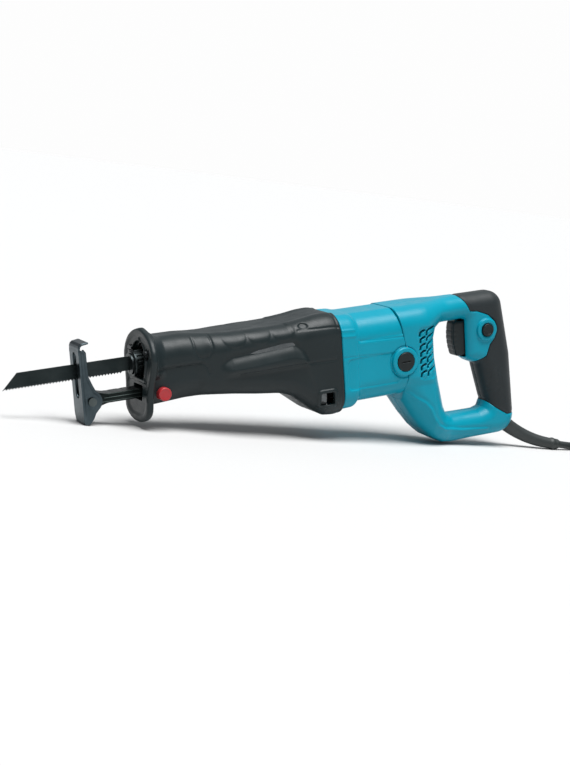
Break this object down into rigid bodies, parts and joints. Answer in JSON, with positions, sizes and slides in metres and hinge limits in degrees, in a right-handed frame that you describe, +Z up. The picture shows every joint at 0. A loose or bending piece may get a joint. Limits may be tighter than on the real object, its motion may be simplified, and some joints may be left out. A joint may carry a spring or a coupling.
{
  "type": "reciprocating saw",
  "caption": "Corded reciprocating saw with a loop handle, hand guard, tilting shoe, bar plunger and clamped blade.",
  "frame": {"origin": "on the bench, under the middle of the saw's own box, without the free cord", "axes": "+X from the blade to the handle, +Y across the tool to its right side, +Z up; the plunger points 12.0 degrees down towards -X"},
  "size_m": [0.7512, 0.149, 0.1613],
  "materials": {
    "teal_plastic": "satin moulded nylon",
    "charcoal_plastic": "satin moulded",
    "soft_grip": "matt soft moulding",
    "blade_steel": "dark coated",
    "shoe_steel": "blued",
    "machined_steel": "ground",
    "gear_steel": "hardened",
    "cast_aluminium": "die cast",
    "laminated_steel": "stacked laminations",
    "copper": "enamelled wire",
    "brass": "turned",
    "carbon": "matt",
    "red_plastic": "satin",
    "cord_rubber": "matt",
    "plated_screws": "zinc plated"
  },
  "bodies": {
    "housing": {"gear_bearing": "machined_steel", "plunger_bushes": "brass", "plunger_seal": "cord_rubber", "motor_bearings": "machined_steel", "stator_core": "laminated_steel", "field_windings": "copper", "baffle_plate": "charcoal_plastic", "brush_holders": "brass", "carbon_brushes": "carbon", "brush_caps": "charcoal_plastic", "gear_housing": "cast_aluminium", "bearing_box": "cast_aluminium", "insulation_cover": "charcoal_plastic", "hand_guard": "charcoal_plastic", "guard_screws": "plated_screws", "motor_housing": "teal_plastic", "housing_screws": "plated_screws", "handle_left": "teal_plastic", "handle_right": "teal_plastic", "grip_left": "soft_grip", "grip_right": "soft_grip", "handle_screws": "plated_screws", "switch_body": "charcoal_plastic", "noise_capacitor": "charcoal_plastic", "cord_clamp": "charcoal_plastic", "cord_clamp_screws": "plated_screws", "cord_guard": "cord_rubber", "power_cord": "cord_rubber", "cord_coil": "cord_rubber", "coil_tie": "charcoal_plastic", "plug_body": "cord_rubber", "plug_pins": "brass"},
    "plunger": {"clamp_body": "machined_steel", "clamp_pin": "machined_steel", "clamp_spring": "machined_steel", "saw_blade": "blade_steel", "plunger_bar": "machined_steel", "scotch_yoke": "gear_steel", "crank_roller": "machined_steel"},
    "sleeve": {"clamp_sleeve": "gear_steel"},
    "crank_gear": {"crank_disc": "gear_steel", "bevel_gear": "gear_steel", "gear_shaft": "machined_steel"},
    "armature": {"armature_shaft": "machined_steel", "drive_pinion": "gear_steel", "cooling_fan": "charcoal_plastic", "armature_core": "laminated_steel", "armature_windings": "copper", "commutator": "copper"},
    "arm": {"shoe_arm": "shoe_steel", "shoe_pin": "machined_steel"},
    "shoe": {"shoe_plate": "shoe_steel"},
    "shoe_button": {"shoe_release_button": "red_plastic"},
    "trigger": {"trigger": "charcoal_plastic"},
    "lock_button": {"lock_button": "charcoal_plastic"}
  },
  "joints": [
    {"name": "plunger_slide", "type": "slide", "parent": "housing", "child": "plunger", "axis": [0.9781, 0, 0.2081], "range_m": [-0.014, 0.014]},
    {"name": "clamp_sleeve_turn", "type": "hinge", "parent": "plunger", "child": "sleeve", "pos_m": [-0.14791, 0, 0.06055], "axis": [0.9781, 0, 0.2081], "range_deg": [0, 60], "stiffness_Nm_per_rad": 0.02},
    {"name": "armature_spin", "type": "hinge", "parent": "housing", "child": "armature", "pos_m": [0.05632, 0, 0.07129], "axis": [0.9781, 0, 0.2081], "continuous": true},
    {"name": "crank_gear_spin", "type": "hinge", "parent": "housing", "child": "crank_gear", "pos_m": [-0.01722, 0, 0.06137], "axis": [-0.2081, 0, 0.9781], "continuous": true},
    {"name": "shoe_arm_slide", "type": "slide", "parent": "housing", "child": "arm", "axis": [-0.9781, 0, -0.2081], "range_m": [-0.02, 0.01]},
    {"name": "shoe_tilt", "type": "hinge", "parent": "arm", "child": "shoe", "pos_m": [-0.19305, 0, 0.02283], "axis": [0, 1, 0], "range_deg": [-22, 22]},
    {"name": "shoe_button_push", "type": "slide", "parent": "housing", "child": "shoe_button", "axis": [0, 1, 0], "range_m": [0, 0.003], "stiffness_N_per_m": 400},
    {"name": "trigger_pull", "type": "slide", "parent": "housing", "child": "trigger", "axis": [0.9781, 0, 0.2081], "range_m": [0, 0.006], "stiffness_N_per_m": 600},
    {"name": "lock_button_push", "type": "slide", "parent": "housing", "child": "lock_button", "axis": [0, 1, 0], "range_m": [0, 0.003], "stiffness_N_per_m": 400}
  ],
  "couplings": [
    {"joint": "crank_gear_spin", "follows": "armature_spin", "ratio": -0.2}
  ]
}
